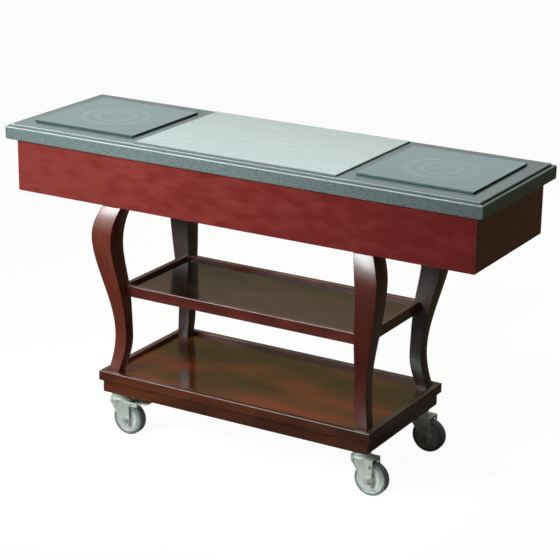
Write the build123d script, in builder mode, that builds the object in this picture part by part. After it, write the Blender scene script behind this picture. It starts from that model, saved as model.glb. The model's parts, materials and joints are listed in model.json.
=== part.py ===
from build123d import *
import os
from math import cos, radians, sin

# An induction cooking cart: a solid-surface worktop with two glass hobs and a stainless
# landing plate, on a lacquered wooden carcass, four cabriole legs, two shelves and casters.
# Millimetres. X runs along the cart, Y from front to back, Z up.
# The origin is on the floor under the middle of the cart.

os.makedirs("parts", exist_ok=True)

# Worktop
top_length = 1539.0
top_width = 484.0
top_height = 914.0
nosing_depth = 44.4
nosing_width = 44.0
nosing_round = 4.0
nosing_arris = 3.0
nosing_corner = 5.0
sheet = 12.0
step_in = 12.0
step_down = 6.0
field_round = 2.5
quirk_width = 3.0
quirk_depth = 2.0
subtop = 18.0

# Stainless landing plate between the hobs
plate_length = 651.0
plate_width = 435.0
plate_height = 3.5
plate_gauge = 1.2
plate_arris = 0.5
plate_corner = 3.0

# Hobs
hob_offset = 536.0
hob_y = 0.0
glass_side = 348.0
glass = 4.0
glass_bevel = 0.8
trim_side = 344.0
trim_height = 2.0
flange_side = 336.0
cutout_side = 324.0
housing_side = 320.0
housing_depth = 88.0
gauge = 1.2
exhaust_count = 16
exhaust_pitch = 14.0
exhaust_length = 36.0
exhaust_width = 6.0
exhaust_height = 30.0

# Inside each hob housing
carrier_side = 306.0
carrier_gauge = 2.0
carrier_height = 70.0
post_spread = 298.0
post_radius = 4.0
coil_inner = 20.0
coil_outer = 92.0
coil_height = 6.0
fan_side = 92.0
fan_corner = 6.0
fan_height = 25.0
fan_bore = 43.5
fan_place = 95.0
fan_hub = 17.0
arm_count = 3
arm_width = 5.0
arm_bite = 3.0
spider_hub = 16.0
spider_gauge = 2.4
shaft_height = 21.0
rotor_lift = 3.5
rotor_height = 18.0
blade_root = 15.0
blade_tip = 41.5
blade_chord = 22.0
blade_gauge = 1.6
blade_count = 7
blade_pitch = 38.0
fan_shaft = 2.0
board_x = 70.0
board_length = 280.0
board_width = 130.0
board_gauge = 1.6
standoff = 8.0
standoff_radius = 4.0
standoff_inset = 8.0
sink_place = (-20.0, 40.0)
sink_width = 60.0
sink_length = 130.0
sink_base = 5.0
fin_count = 8
fin_pitch = 8.0
fin_gauge = 2.0
fin_height = 24.0
capacitor_places = ((-25.0, -80.0), (25.0, -80.0))
capacitor_radius = 16.0
capacitor_height = 38.0

# Carcass below the worktop
apron_end_inset = 27.5
apron_side_inset = 24.0
apron_bottom = 711.5
board = 19.0
bottom_board = 18.0
vent_length = 150.0
vent_width = 8.0
vent_pitch = 18.0
vent_count = 12

# Supply
inlet_height = 775.0
inlet_radius = 27.0
inlet_flange = 36.0
inlet_flange_gauge = 4.0
inlet_chamfer = 1.0
inlet_depth = 45.0
inlet_socket = 22.0
inlet_socket_depth = 28.0
pin_radius = 2.5
pin_circle = 11.0
pin_count = 3
pin_recess = 4.0
box_length = 140.0
box_width = 80.0
box_height = 60.0
box_y = 120.0
box_corner = 4.0
box_round = 3.0
lead_radius = 4.5
lead_low = 757.0
lead_high = 855.0
lead_rise_start = 190.0
lead_rise_end = 290.0
lead_bend = 90.0

# Base shelf, plinth and middle shelf
base_length = 909.0
base_width = 457.0
base_top = 200.7
base_lip = 30.0
base_rim = 17.0
rim_rise = 11.0
plinth_bottom = 133.2
plinth_inset = 9.3
mid_length = 813.0
mid_width = 356.0
mid_top = 465.4
mid_rail = 33.2
mid_rim = 15.0
mid_panel = 16.0
rail_arris = 2.0
lip_arris = 2.2
board_arris = 1.5

# Legs: the feet stand in from the rim, and the S curve's points are offsets from the foot's
# outer face with their heights
leg_foot = 36.5
foot_inset = (1.7, 6.0)
ankle = (-15.0, 310.4)
waist = (5.5, 460.0)
knee = (30.5, 595.0)
leg_head = 5.6
inner_ankle = (-53.2, 339.0)
inner_waist = (-47.7, 460.0)
inner_knee = (-35.0, 597.3)
inner_head = -56.6
foot_slope = -0.25
head_slope = -0.55
inner_foot_slope = -0.3
inner_head_slope = -0.4
leg_bolt = 4.0
leg_bolt_length = 60.0
bolt_head = 6.5
bolt_head_height = 5.5
screw_head = 8.0
countersink = 45.0

# Casters
caster_x = 410.0
caster_y = 181.2
trail = 33.0
wheel_radius = 50.0
tyre_width = 32.0
tyre_inner = 41.0
shoulder_round = 7.0
tyre_lip = 1.0
hub_boss = 13.0
boss_chamfer = 1.0
hub_taper = 2.0
hub_face = 13.0
hub_rim = 14.0
ring_face = 15.0
ring_width = 2.0
ring_slope = 1.0
ring_radius = 37.0
boss_end = 21.6
axle_radius = 6.0
running = 0.05
cheek_inside = 22.0
cheek = 3.0
cheek_top = 111.0
cheek_front = 98.0
cheek_nose = -19.0
cheek_back = 45.0
tip_radius = 8.0
tip_places = ((37.0, 39.0), (30.0, 39.0))
skirt_end = -14.0
dish_radius = 31.5
race_radius = 24.0
race_top = 115.6
cup_radius = 26.0
cup_bottom = 116.0
cup_edge = 122.0
cup_crown = (23.0, 128.5)
cup_neck = 15.0
cup_top = 131.7
king_pin = 6.0
rivet_top = 107.6
rivet_bottom = 103.6
rivet_radius = 10.0
rivet_end = 8.0
stem_top = 164.0
block_side = 80.0
hex_head = 17.0
hex_height = 6.0
nut_height = 8.0
thread_end = 2.0
slot_length = 11.0
slot_width = 6.0
slot_place = (38.0, 90.0)

# Brake pedals on the two left casters
ear_reach = 75.0
ear_bottom = 97.0
pedal_pivot = (65.0, 104.0)
pedal_pin = 3.0
pedal_tube = 5.0
pedal_width = 40.0
pedal_gauge = 3.0
pedal_reach = 46.0
pedal_rise = 12.0
shoe_length = 10.4
shoe_half = 14.0
pin_half = 26.5
shoe_tip = 2.0
shoe_angle = 262.0

# Levels and places that follow from the sizes above
nosing_bottom = top_height - nosing_depth
sheet_bottom = top_height - sheet
shoulder = top_height - step_down
field_length = top_length - 2 * step_in
field_width = top_width - 2 * step_in
apron_length = top_length - 2 * apron_end_inset
apron_width = top_width - 2 * apron_side_inset
floor_top = apron_bottom + bottom_board
housing_floor = top_height - housing_depth
housing_inside = housing_floor + gauge
base_panel_top = base_top - rim_rise
base_lip_bottom = base_top - base_lip
base_inner_length = base_length - 2 * base_rim
base_inner_width = base_width - 2 * base_rim
plinth_length = base_length - 2 * plinth_inset
plinth_width = base_width - 2 * plinth_inset
mid_bottom = mid_top - mid_rail
mid_panel_top = mid_top - rim_rise
foot_x = base_inner_length / 2 - foot_inset[0]
foot_y = base_inner_width / 2 - foot_inset[1]
block_x = plinth_length / 2 - board - block_side / 2
block_y = plinth_width / 2 - board - block_side / 2
cheek_outside = cheek_inside + cheek

hobs = {"left": -hob_offset, "right": hob_offset}
long_sides = ("front", "back")
end_sides = ("left", "right")
corners = {
    "front_left": (-1, -1),
    "front_right": (1, -1),
    "back_left": (-1, 1),
    "back_right": (1, 1),
}
braked = ("front_left", "back_left")


def save(builder, label):
    builder.part.label = label
    export_step(builder.part, f"parts/{label}.step")


def board_plan(length, width, thickness, side):
    """Plan of one mitred board of a rectangular frame."""
    x, y = length / 2, width / 2
    inner_x, inner_y = x - thickness, y - thickness
    if side in long_sides:
        s = -1 if side == "front" else 1
        return [(-x, s * y), (x, s * y), (inner_x, s * inner_y), (-inner_x, s * inner_y)]
    s = -1 if side == "left" else 1
    return [(s * x, -y), (s * x, y), (s * inner_x, inner_y), (s * inner_x, -inner_y)]


# Worktop slab: a sheet with a raised field, a quirk round the field and a deep rounded nosing
with BuildPart() as worktop_slab:
    with BuildSketch(Plane.XY.offset(nosing_bottom)):
        RectangleRounded(top_length, top_width, nosing_corner)
    extrude(amount=shoulder - nosing_bottom)
    fillet(worktop_slab.faces().sort_by(Axis.Z)[-1].edges(), nosing_round)
    fillet(worktop_slab.faces().sort_by(Axis.Z)[0].edges(), nosing_arris)
    with BuildSketch(Plane.XY.offset(shoulder)):
        RectangleRounded(field_length + 2 * quirk_width, field_width + 2 * quirk_width, nosing_corner)
    extrude(amount=-quirk_depth, mode=Mode.SUBTRACT)
    with BuildSketch(Plane.XY.offset(shoulder - quirk_depth)):
        RectangleRounded(field_length, field_width, nosing_corner)
    extrude(amount=quirk_depth + step_down)
    fillet(worktop_slab.faces().sort_by(Axis.Z)[-1].edges(), field_round)
    with BuildSketch(Plane.XY.offset(nosing_bottom)):
        Rectangle(top_length - 2 * nosing_width, top_width - 2 * nosing_width)
    extrude(amount=sheet_bottom - nosing_bottom, mode=Mode.SUBTRACT)
    with BuildSketch(Plane.XY.offset(sheet_bottom)):
        with Locations(*[(x, hob_y) for x in hobs.values()]):
            Rectangle(cutout_side, cutout_side)
    extrude(amount=sheet, mode=Mode.SUBTRACT)
save(worktop_slab, "worktop_slab")

# Plywood board that stiffens the sheet inside the nosing
with BuildPart() as subtop_board:
    with BuildSketch(Plane.XY.offset(sheet_bottom - subtop)):
        Rectangle(top_length - 2 * nosing_width, top_width - 2 * nosing_width)
        with Locations(*[(x, hob_y) for x in hobs.values()]):
            Rectangle(cutout_side, cutout_side, mode=Mode.SUBTRACT)
    extrude(amount=subtop)
save(subtop_board, "subtop_board")

# Stainless plate with its edges folded down on to the worktop
with BuildPart() as centre_plate:
    with BuildSketch(Plane.XY.offset(top_height)):
        RectangleRounded(plate_length, plate_width, plate_corner)
    extrude(amount=plate_height)
    fillet(centre_plate.faces().sort_by(Axis.Z)[-1].edges(), plate_arris)
    with BuildSketch(Plane.XY.offset(top_height)):
        Rectangle(plate_length - 4 * plate_gauge, plate_width - 4 * plate_gauge)
    extrude(amount=plate_height - plate_gauge, mode=Mode.SUBTRACT)
save(centre_plate, "centre_plate")


def hob_glass(hob_x):
    """Ceramic glass with a ground bevel round its edge."""
    with BuildPart() as pane:
        with BuildSketch(Plane((hob_x, hob_y, top_height + trim_height))):
            RectangleRounded(glass_side, glass_side, plate_corner)
        extrude(amount=glass)
        chamfer(pane.faces().sort_by(Axis.Z)[-1].edges(), glass_bevel)
    return pane


def hob_trim(hob_x):
    """Dark seal frame that carries the glass round the housing's flange."""
    with BuildPart() as trim:
        with BuildSketch(Plane((hob_x, hob_y, top_height))):
            RectangleRounded(trim_side, trim_side, plate_corner)
            Rectangle(flange_side, flange_side, mode=Mode.SUBTRACT)
        extrude(amount=trim_height)
    return trim


def hob_housing(hob_x):
    """Sheet-metal tub hung by its flange in the worktop, with a fan inlet and exhaust slots."""
    with BuildPart() as tub:
        with BuildSketch(Plane((hob_x, hob_y, housing_floor))):
            Rectangle(housing_side, housing_side)
        extrude(amount=housing_depth + gauge)
        with BuildSketch(Plane((hob_x, hob_y, top_height))):
            Rectangle(flange_side, flange_side)
        extrude(amount=gauge)
        with BuildSketch(Plane((hob_x, hob_y, housing_inside))):
            Rectangle(housing_side - 2 * gauge, housing_side - 2 * gauge)
        extrude(amount=housing_depth + gauge, mode=Mode.SUBTRACT)
        with BuildSketch(Plane((hob_x - fan_place, hob_y - fan_place, housing_floor))):
            Circle(fan_bore)
        extrude(amount=gauge, mode=Mode.SUBTRACT)
        back = (hob_x, hob_y + housing_side / 2, housing_floor + exhaust_height)
        exhaust = Plane(back, (1, 0, 0), (0, -1, 0))
        with BuildSketch(exhaust):
            with GridLocations(exhaust_pitch, 0, exhaust_count, 1):
                SlotOverall(exhaust_length, exhaust_width, rotation=90)
        extrude(amount=gauge, mode=Mode.SUBTRACT)
    return tub


def coil_carrier(hob_x):
    """Aluminium plate on four posts that holds the coil close under the glass."""
    with BuildPart() as carrier:
        with BuildSketch(Plane((hob_x, hob_y, housing_inside))):
            with GridLocations(post_spread, post_spread, 2, 2):
                Circle(post_radius)
        extrude(amount=carrier_height)
        with BuildSketch(Plane((hob_x, hob_y, housing_inside + carrier_height))):
            Rectangle(carrier_side, carrier_side)
            Circle(coil_inner, mode=Mode.SUBTRACT)
        extrude(amount=carrier_gauge)
    return carrier


def induction_coil(hob_x):
    """Flat work coil, a ring of litz wire set in resin."""
    with BuildPart() as coil:
        with BuildSketch(Plane((hob_x, hob_y, housing_inside + carrier_height + carrier_gauge))):
            Circle(coil_outer)
            Circle(coil_inner, mode=Mode.SUBTRACT)
        extrude(amount=coil_height)
    return coil


def power_board(hob_x):
    """Inverter board on standoffs, with a finned heat sink and two capacitors."""
    floor = Plane((hob_x + board_x, hob_y, housing_inside))
    face = floor.offset(standoff + board_gauge)
    spread_x = board_width - 2 * standoff_inset
    spread_y = board_length - 2 * standoff_inset
    with BuildPart() as inverter:
        with BuildSketch(floor):
            with GridLocations(spread_x, spread_y, 2, 2):
                Circle(standoff_radius)
        extrude(amount=standoff)
        with BuildSketch(floor.offset(standoff)):
            Rectangle(board_width, board_length)
        extrude(amount=board_gauge)
        with BuildSketch(face):
            with Locations(sink_place):
                Rectangle(sink_width, sink_length)
        extrude(amount=sink_base)
        with BuildSketch(face.offset(sink_base)):
            with Locations(sink_place):
                with GridLocations(fin_pitch, 0, fin_count, 1):
                    Rectangle(fin_gauge, sink_length)
        extrude(amount=fin_height)
        with BuildSketch(face):
            with Locations(*capacitor_places):
                Circle(capacitor_radius)
        extrude(amount=capacitor_height)
    return inverter


def fan_frame(hob_x):
    """Square fan frame with a spider of three arms that carries the shaft."""
    seat = Plane((hob_x - fan_place, hob_y - fan_place, housing_inside))
    with BuildPart() as frame:
        with BuildSketch(seat):
            RectangleRounded(fan_side, fan_side, fan_corner)
            Circle(fan_bore, mode=Mode.SUBTRACT)
        extrude(amount=fan_height)
        with BuildSketch(seat):
            Circle(spider_hub)
            with PolarLocations((fan_hub + fan_bore) / 2, arm_count):
                Rectangle(fan_bore - fan_hub + arm_bite, arm_width)
        extrude(amount=spider_gauge)
        with BuildSketch(seat):
            Circle(fan_shaft)
        extrude(amount=shaft_height)
    return frame


def fan_rotor(hob_x):
    """Fan rotor: a hub on the shaft with pitched blades."""
    centre = Vector(hob_x - fan_place, hob_y - fan_place, housing_inside + rotor_lift)
    middle = centre + Vector(0, 0, rotor_height / 2)
    with BuildPart() as rotor:
        with BuildSketch(Plane(centre)):
            Circle(fan_hub)
        extrude(amount=rotor_height)
        for blade in range(blade_count):
            outward = Vector(1, 0, 0).rotate(Axis.Z, 360 * blade / blade_count)
            along = Vector(0, 1, 0).rotate(Axis.Z, 360 * blade / blade_count)
            with BuildSketch(Plane(middle + outward * blade_root, along, outward)):
                Rectangle(blade_chord, blade_gauge, rotation=blade_pitch)
            extrude(amount=blade_tip - blade_root)
        with BuildSketch(Plane(centre)):
            Circle(fan_shaft + running)
        extrude(amount=rotor_height, mode=Mode.SUBTRACT)
    return rotor


hob_pieces = {
    "hob_glass": hob_glass,
    "hob_trim": hob_trim,
    "hob_housing": hob_housing,
    "coil_carrier": coil_carrier,
    "induction_coil": induction_coil,
    "power_board": power_board,
    "fan_frame": fan_frame,
    "fan_rotor": fan_rotor,
}
for side, hob_x in hobs.items():
    for piece, make in hob_pieces.items():
        save(make(hob_x), f"{piece}_{side}")


def apron(side):
    """One lacquered apron board, with the supply inlet's hole in the back one."""
    with BuildPart() as panel:
        with BuildSketch(Plane.XY.offset(apron_bottom)):
            Polygon(*board_plan(apron_length, apron_width, board, side), align=None)
        extrude(amount=nosing_bottom - apron_bottom)
        run = Axis.X if side in long_sides else Axis.Y
        fillet(panel.edges().filter_by(run).group_by(Axis.Z)[0], board_arris)
        if side == "back":
            with BuildSketch(Plane((0, apron_width / 2, inlet_height), (1, 0, 0), (0, -1, 0))):
                Circle(inlet_radius)
            extrude(amount=board, mode=Mode.SUBTRACT)
    return panel


for side in long_sides + end_sides:
    save(apron(side), f"apron_{side}")

# Where the legs are bolted: the middle of each leg's head, and of each foot
head_x = foot_x + (leg_head + inner_head) / 2
head_y = foot_y + (leg_head + inner_head) / 2
sole_x = foot_x - leg_foot / 2
sole_y = foot_y - leg_foot / 2
head_places = [(sx * head_x, sy * head_y) for sx, sy in corners.values()]
foot_places = [(sx * sole_x, sy * sole_y) for sx, sy in corners.values()]

# Carcass floor, with ventilation slots under each hob
with BuildPart() as carcass_floor:
    with BuildSketch(Plane.XY.offset(apron_bottom)):
        Rectangle(apron_length - 2 * board, apron_width - 2 * board)
        with Locations(*[(x, hob_y) for x in hobs.values()]):
            with GridLocations(vent_pitch, 0, vent_count, 1):
                SlotOverall(vent_length, vent_width, rotation=90, mode=Mode.SUBTRACT)
        with Locations(*head_places):
            Circle(leg_bolt, mode=Mode.SUBTRACT)
    extrude(amount=bottom_board)
save(carcass_floor, "carcass_floor")

# Flanged supply inlet in the back apron, with its contact pins
inlet_face = Plane((0, apron_width / 2, inlet_height), (1, 0, 0), (0, 1, 0))
with BuildPart() as power_inlet:
    with BuildSketch(inlet_face):
        Circle(inlet_flange)
    extrude(amount=inlet_flange_gauge)
    chamfer(power_inlet.faces().sort_by(Axis.Y)[-1].edges(), inlet_chamfer)
    with BuildSketch(inlet_face):
        Circle(inlet_radius)
    extrude(amount=-inlet_depth)
    with BuildSketch(inlet_face.offset(inlet_flange_gauge)):
        Circle(inlet_socket)
    extrude(amount=-inlet_socket_depth, mode=Mode.SUBTRACT)
    with BuildSketch(inlet_face.offset(inlet_flange_gauge - inlet_socket_depth)):
        with PolarLocations(pin_circle, pin_count, start_angle=90):
            Circle(pin_radius)
    extrude(amount=inlet_socket_depth - pin_recess)
save(power_inlet, "power_inlet")

# Junction box on the carcass floor behind the landing plate
with BuildPart() as junction_box:
    with BuildSketch(Plane((0, box_y, floor_top))):
        RectangleRounded(box_length, box_width, box_corner)
    extrude(amount=box_height)
    fillet(junction_box.faces().sort_by(Axis.Z)[-1].edges(), box_round)
save(junction_box, "junction_box")

# Fixed leads: from the inlet to the box, and from the box to each housing
with BuildPart() as supply_leads:
    with BuildSketch(Plane((0, box_y + box_width / 2, inlet_height), (1, 0, 0), (0, 1, 0))):
        Circle(lead_radius)
    extrude(amount=apron_width / 2 - inlet_depth - box_y - box_width / 2)
    for s in (-1, 1):
        start = (s * box_length / 2, box_y, lead_low)
        end = (s * (hob_offset - housing_side / 2), box_y, lead_high)
        with BuildLine() as route:
            FilletPolyline(start, (s * lead_rise_start, box_y, lead_low),
                           (s * lead_rise_end, box_y, lead_high), end, radius=lead_bend)
        with BuildSketch(Plane(start, z_dir=(s, 0, 0))):
            Circle(lead_radius)
        sweep(path=route.wires()[0])
save(supply_leads, "supply_leads")


def leg_face(out, foot):
    """Heights and places of the S curve on one face of a leg: the outer line, then the inner."""
    outer = [(foot, base_top)]
    outer += [(foot + u, z) for u, z in (ankle, waist, knee)]
    outer += [(foot + leg_head, apron_bottom)]
    inner = [(foot + inner_head, apron_bottom)]
    inner += [(foot + u, z) for u, z in (inner_knee, inner_waist, inner_ankle)]
    inner += [(foot - leg_foot, base_top)]
    return [(out * x, z) for x, z in outer], [(out * x, z) for x, z in inner]


def leg(sx, sy):
    """Cabriole leg: the same S curve sawn from two faces of a square blank."""
    faces = ((Plane.XZ, sx, foot_x, Mode.ADD), (Plane.YZ, sy, foot_y, Mode.INTERSECT))
    with BuildPart() as post:
        for plane, out, foot, mode in faces:
            outer, inner = leg_face(out, foot)
            with BuildSketch(plane):
                with BuildLine():
                    Spline(*outer, tangents=[(foot_slope * out, 1), (head_slope * out, 1)])
                    Line(outer[-1], inner[0])
                    Spline(*inner, tangents=[(-inner_head_slope * out, -1),
                                             (-inner_foot_slope * out, -1)])
                    sole = [(x, base_panel_top) for x in (inner[-1][0], outer[0][0])]
                    Polyline(inner[-1], *sole, outer[0])
                make_face()
            extrude(amount=base_length, both=True, mode=mode)
        with BuildSketch(Plane.XY.offset(mid_bottom)):
            Rectangle(mid_length, mid_width)
        extrude(amount=mid_rail, mode=Mode.SUBTRACT)
        with BuildSketch(Plane.XY.offset(floor_top)):
            with Locations((sx * head_x, sy * head_y)):
                Circle(leg_bolt)
        extrude(amount=-leg_bolt_length, mode=Mode.SUBTRACT)
        with BuildSketch(Plane.XY.offset(base_lip_bottom)):
            with Locations((sx * sole_x, sy * sole_y)):
                Circle(leg_bolt)
        extrude(amount=leg_bolt_length, mode=Mode.SUBTRACT)
    return post


for name, (sx, sy) in corners.items():
    save(leg(sx, sy), f"leg_{name}")

# Hex bolts down into the leg heads and countersunk screws up into the feet
with BuildPart() as leg_fasteners:
    with BuildSketch(Plane.XY.offset(floor_top)):
        with Locations(*head_places):
            RegularPolygon(bolt_head, 6)
    extrude(amount=bolt_head_height)
    with BuildSketch(Plane.XY.offset(floor_top)):
        with Locations(*head_places):
            Circle(leg_bolt)
    extrude(amount=-leg_bolt_length)
    with BuildSketch(Plane.XY.offset(base_lip_bottom)):
        with Locations(*foot_places):
            Circle(leg_bolt)
    extrude(amount=leg_bolt_length)
    with BuildSketch(Plane.XY.offset(base_lip_bottom)):
        with Locations(*foot_places):
            Circle(screw_head)
    extrude(amount=screw_head - leg_bolt, taper=countersink)
save(leg_fasteners, "leg_fasteners")


def rails(length, width, thickness, bottom, height, pair, arris):
    """Two opposite mitred rails of a frame, with eased long edges."""
    with BuildPart() as frame:
        with BuildSketch(Plane.XY.offset(bottom)):
            for side in pair:
                Polygon(*board_plan(length, width, thickness, side), align=None)
        extrude(amount=height)
        run = Axis.X if "front" in pair else Axis.Y
        fillet(frame.edges().filter_by(run), arris)
    return frame


mid_frame = (mid_length, mid_width, mid_rim, mid_bottom, mid_rail)
base_frame = (base_length, base_width, base_rim, base_lip_bottom, base_lip)
plinth_frame = (plinth_length, plinth_width, board, plinth_bottom, base_lip_bottom - plinth_bottom)
save(rails(*mid_frame, long_sides, rail_arris), "mid_shelf_long_rails")
save(rails(*mid_frame, end_sides, rail_arris), "mid_shelf_end_rails")
save(rails(*base_frame, long_sides, lip_arris), "base_long_rails")
save(rails(*base_frame, end_sides, lip_arris), "base_end_rails")
save(rails(*plinth_frame, long_sides, board_arris), "plinth_long_boards")
save(rails(*plinth_frame, end_sides, board_arris), "plinth_end_boards")

# Middle shelf panel, let in below the rails' top
with BuildPart() as mid_shelf_panel:
    with BuildSketch(Plane.XY.offset(mid_panel_top)):
        Rectangle(mid_length - 2 * mid_rim, mid_width - 2 * mid_rim)
    extrude(amount=-mid_panel)
save(mid_shelf_panel, "mid_shelf_panel")

# Base panel, which the feet stand on
with BuildPart() as base_panel:
    with BuildSketch(Plane.XY.offset(base_lip_bottom)):
        Rectangle(base_inner_length, base_inner_width)
        with Locations(*foot_places):
            Circle(leg_bolt, mode=Mode.SUBTRACT)
    extrude(amount=base_panel_top - base_lip_bottom)
    with BuildSketch(Plane.XY.offset(base_lip_bottom)):
        with Locations(*foot_places):
            Circle(screw_head)
    extrude(amount=screw_head - leg_bolt, taper=countersink, mode=Mode.SUBTRACT)
save(base_panel, "base_panel")

# Blocks in the plinth's corners that take the caster stems
with BuildPart() as caster_blocks:
    with BuildSketch(Plane.XY.offset(plinth_bottom)):
        for sx, sy in corners.values():
            with Locations((sx * block_x, sy * block_y)):
                Rectangle(block_side, block_side)
            with Locations((sx * caster_x, sy * caster_y)):
                Circle(king_pin, mode=Mode.SUBTRACT)
    extrude(amount=base_lip_bottom - plinth_bottom)
save(caster_blocks, "caster_blocks")

# Caster stems: each a stem in its block, a race cup and the king pin with its riveted end
with BuildPart() as caster_stems:
    for sx, sy in corners.values():
        place = (sx * caster_x, sy * caster_y, 0)
        with BuildSketch(Plane(place, (1, 0, 0), (0, -1, 0))):
            with BuildLine():
                Polyline((0, stem_top), (king_pin, stem_top), (king_pin, plinth_bottom),
                         (cup_neck, plinth_bottom), (cup_neck, cup_top))
                ThreePointArc((cup_neck, cup_top), cup_crown, (cup_radius, cup_edge))
                Polyline((cup_radius, cup_edge), (cup_radius, cup_bottom),
                         (king_pin, cup_bottom), (king_pin, rivet_top), (rivet_radius, rivet_top),
                         (rivet_end, rivet_bottom), (0, rivet_bottom), (0, stem_top))
            make_face()
        revolve(axis=Axis(place, (0, 0, 1)))
save(caster_stems, "caster_stems")


def caster_fork(sx, sy, brake):
    """Pressed steel fork: a dished crown with a race and two cheeks, with ears for a brake pedal."""
    x, y = sx * caster_x, sy * caster_y
    side = Plane((x, y, 0), (1, 0, 0), (0, -1, 0))
    with BuildPart() as fork:
        with BuildSketch(Plane((x, y, cheek_top - cheek))):
            Circle(dish_radius)
            with Locations((cheek_back / 2, 0)):
                Rectangle(cheek_back, 2 * cheek_outside)
        extrude(amount=cheek)
        with BuildSketch(Plane((x, y, cheek_top))):
            Circle(race_radius)
        extrude(amount=race_top - cheek_top)
        with BuildSketch(Plane((x, y, cheek_front))):
            Circle(dish_radius)
            Circle(dish_radius - cheek, mode=Mode.SUBTRACT)
            with Locations((skirt_end, 0)):
                Rectangle(2 * dish_radius, 2 * dish_radius, align=(Align.MIN, Align.CENTER),
                          mode=Mode.SUBTRACT)
        extrude(amount=cheek_top - cheek_front)
        for face in (cheek_inside, -cheek_outside):
            with BuildSketch(side.offset(face)):
                with Locations(*tip_places):
                    Circle(tip_radius)
                Polygon((cheek_nose, cheek_front), (cheek_back, cheek_front), (cheek_back, cheek_top),
                        (cheek_nose, cheek_top), align=None)
                make_hull()
                if brake:
                    Polygon((cheek_back, ear_bottom), (ear_reach, ear_bottom), (ear_reach, cheek_top),
                            (cheek_back, cheek_top), align=None)
                    with Locations(pedal_pivot):
                        Circle(pedal_pin + running, mode=Mode.SUBTRACT)
                else:
                    with Locations(slot_place):
                        SlotOverall(slot_length, slot_width, rotation=90, mode=Mode.SUBTRACT)
                with Locations((trail, wheel_radius)):
                    Circle(axle_radius, mode=Mode.SUBTRACT)
            extrude(amount=cheek)
        with BuildSketch(Plane((x, y, cheek_top - cheek))):
            Circle(king_pin + running)
        extrude(amount=race_top - cheek_top + cheek, mode=Mode.SUBTRACT)
    return fork


def axle_bolt(sx, sy):
    """Axle bolt through the fork: a hex head in front, a nut behind."""
    side = Plane((sx * caster_x + trail, sy * caster_y, wheel_radius), (1, 0, 0), (0, -1, 0))
    with BuildPart() as bolt:
        with BuildSketch(side.offset(-cheek_outside - nut_height - thread_end)):
            Circle(axle_radius)
        extrude(amount=2 * cheek_outside + nut_height + thread_end)
        with BuildSketch(side.offset(cheek_outside)):
            RegularPolygon(hex_head / 2, 6, major_radius=False)
        extrude(amount=hex_height)
        with BuildSketch(side.offset(-cheek_outside - nut_height)):
            RegularPolygon(hex_head / 2, 6, major_radius=False)
        extrude(amount=nut_height)
    return bolt


def wheel_hub(sx, sy):
    """Hub: a boss on the axle, dished faces with a raised ring, and the seat of the tyre."""
    place = (sx * caster_x + trail, sy * caster_y, wheel_radius)
    bore = axle_radius + running
    half = [(0, bore), (boss_end, bore), (boss_end, hub_boss - boss_chamfer),
            (boss_end - boss_chamfer, hub_boss), (hub_face, hub_boss + hub_taper),
            (hub_face, ring_radius - ring_width - ring_slope), (ring_face, ring_radius - ring_width),
            (ring_face, ring_radius), (hub_rim, ring_radius + ring_slope), (hub_rim, tyre_inner),
            (0, tyre_inner)]
    with BuildPart() as hub:
        with BuildSketch(Plane(place, (0, 1, 0), (1, 0, 0))):
            Polygon(*half, align=None)
            mirror(about=Plane.YZ)
        revolve(axis=Axis(place, (0, 1, 0)))
    return hub


def tyre(sx, sy):
    """Rubber tyre with rounded shoulders and a flat tread."""
    place = (sx * caster_x + trail, sy * caster_y, wheel_radius)
    edge = tyre_width / 2
    tread_half = edge - shoulder_round
    with BuildPart() as ring:
        with BuildSketch(Plane(place, (0, 1, 0), (1, 0, 0))):
            with BuildLine():
                Polyline((0, tyre_inner), (edge - tyre_lip, tyre_inner),
                         (edge, wheel_radius - shoulder_round))
                CenterArc((tread_half, wheel_radius - shoulder_round), shoulder_round, 0, 90)
                Line((tread_half, wheel_radius), (0, wheel_radius))
                mirror(about=Plane.YZ)
            make_face()
        revolve(axis=Axis(place, (0, 1, 0)))
    return ring


def brake_pedal(sx, sy):
    """Brake pedal on a cross pin in the fork's ears, with a shoe over the tyre."""
    side = Plane((sx * caster_x, sy * caster_y, 0), (1, 0, 0), (0, -1, 0))
    with BuildPart() as pedal:
        with BuildSketch(side.offset(-pin_half)):
            with Locations(pedal_pivot):
                Circle(pedal_pin)
        extrude(amount=2 * pin_half)
        with BuildSketch(side.offset(-pedal_width / 2)):
            with Locations(pedal_pivot):
                Circle(pedal_tube)
                Rectangle(pedal_reach, pedal_gauge, rotation=pedal_rise, align=(Align.MIN, Align.CENTER))
        extrude(amount=pedal_width)
        tip = (pedal_pivot[0] + shoe_length * cos(radians(shoe_angle)),
               pedal_pivot[1] + shoe_length * sin(radians(shoe_angle)))
        with BuildSketch(side.offset(-shoe_half)):
            with Locations(pedal_pivot):
                Rectangle(shoe_length, 2 * shoe_tip, rotation=shoe_angle, align=(Align.MIN, Align.CENTER))
            with Locations(tip):
                Circle(shoe_tip)
        extrude(amount=2 * shoe_half)
    return pedal


for name, (sx, sy) in corners.items():
    save(caster_fork(sx, sy, name in braked), f"caster_fork_{name}")
    save(axle_bolt(sx, sy), f"axle_bolt_{name}")
    save(wheel_hub(sx, sy), f"wheel_hub_{name}")
    save(tyre(sx, sy), f"tyre_{name}")
    if name in braked:
        save(brake_pedal(sx, sy), f"brake_pedal_{name}")
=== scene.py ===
"""Looks of an induction cooking cart: finishes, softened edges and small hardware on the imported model.

Metres, in the model's own frame: X along the cart, Y from front to back, Z up.
"""
import json
import math

import bmesh
import bpy
from mathutils import Matrix, Vector

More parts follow.
